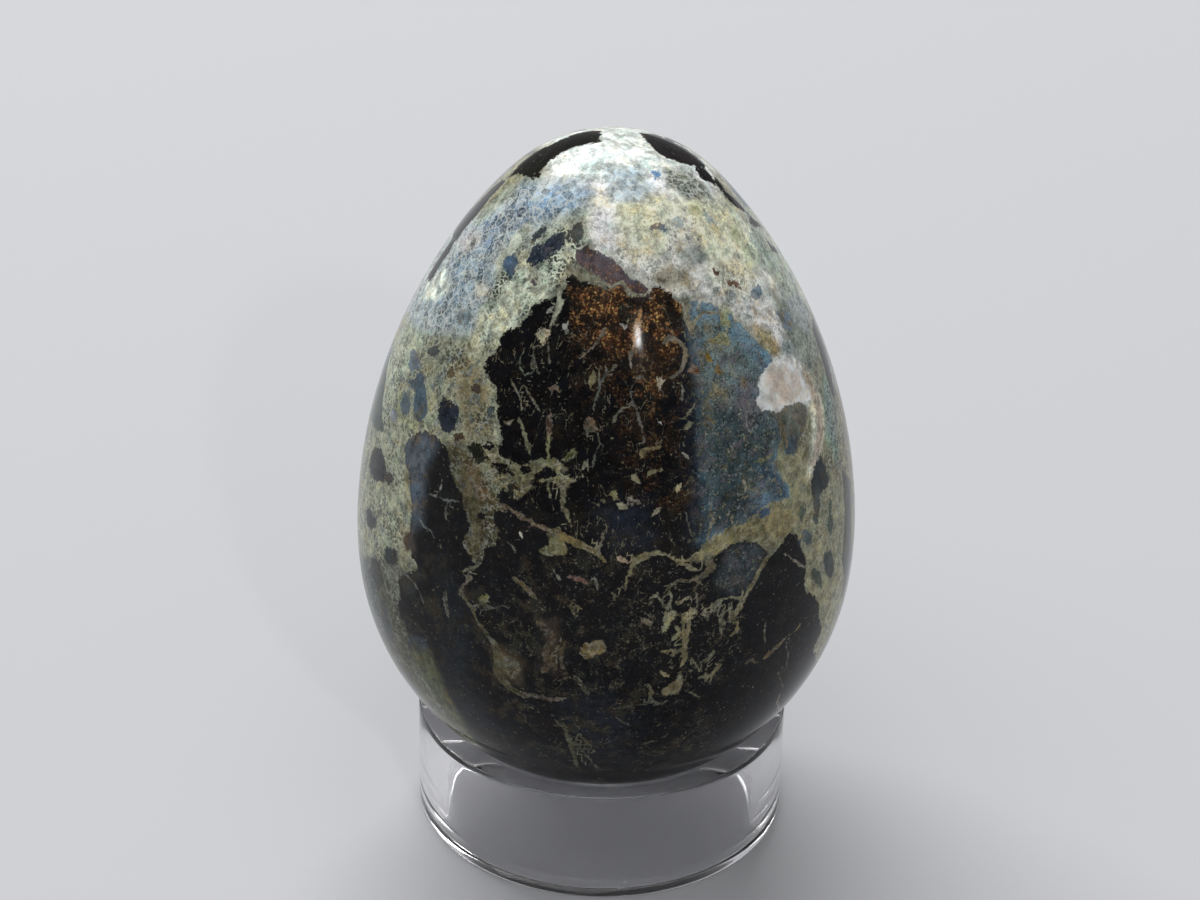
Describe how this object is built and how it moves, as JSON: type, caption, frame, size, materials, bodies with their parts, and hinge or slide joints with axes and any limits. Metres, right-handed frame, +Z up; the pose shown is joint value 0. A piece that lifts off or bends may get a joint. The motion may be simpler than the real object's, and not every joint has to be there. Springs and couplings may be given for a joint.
{
  "type": "decorative egg on stand",
  "caption": "Polished patterned stone egg that rests blunt end down in a short clear ring stand and lifts straight out of it.",
  "frame": {"origin": "centre of the ring stand's underside, on the surface that it stands on", "axes": "+Z up along the axis that the egg and the ring share; -Y faces the side of the egg that the picture shows, and +X is to its right"},
  "size_m": [0.0422, 0.0422, 0.0636],
  "materials": {
    "clear_plastic": "gloss",
    "polished_stone": "gloss"
  },
  "bodies": {
    "stand": {"ring_stand": "clear_plastic"},
    "egg": {"stone_egg": "polished_stone"}
  },
  "joints": [
    {"name": "egg_lift", "type": "slide", "parent": "stand", "child": "egg", "axis": [0, 0, 1], "range_m": [0, 0.03]}
  ]
}
